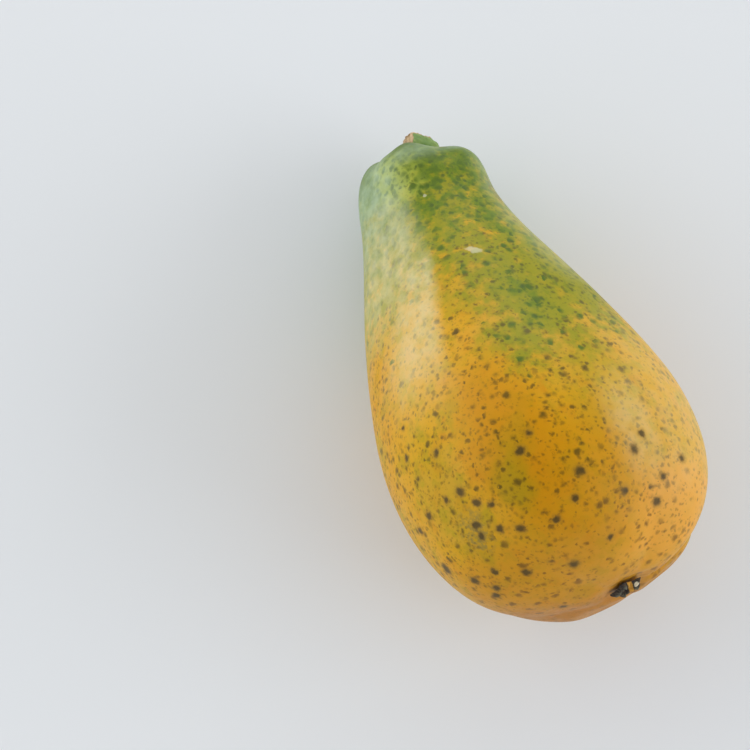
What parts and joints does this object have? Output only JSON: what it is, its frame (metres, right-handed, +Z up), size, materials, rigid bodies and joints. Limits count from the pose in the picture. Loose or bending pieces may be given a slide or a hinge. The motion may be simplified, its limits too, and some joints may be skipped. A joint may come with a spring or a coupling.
{
  "type": "papaya",
  "caption": "Whole ripe papaya lying on its side, pear-shaped with a bowed neck, five soft lobes, a cut stalk in its basin and a dry star of flower remains in the pit.",
  "frame": {"origin": "middle of the bounding box at floor level, under the fruit", "axes": "+Z up, +X towards the blossom end along the lying fruit, +Y towards the fruit's right side"},
  "size_m": [0.1844, 0.1032, 0.1041],
  "materials": {
    "skin": "waxy ripe skin, yellow to orange with a green stalk end and brown specks",
    "stalk": "green stalk with a dry tan cut",
    "flower_remains": "dry, rough, dark brown"
  },
  "bodies": {
    "root": {"fruit": "skin", "stalk": "stalk", "blossom_remains": "flower_remains"}
  },
  "joints": []
}
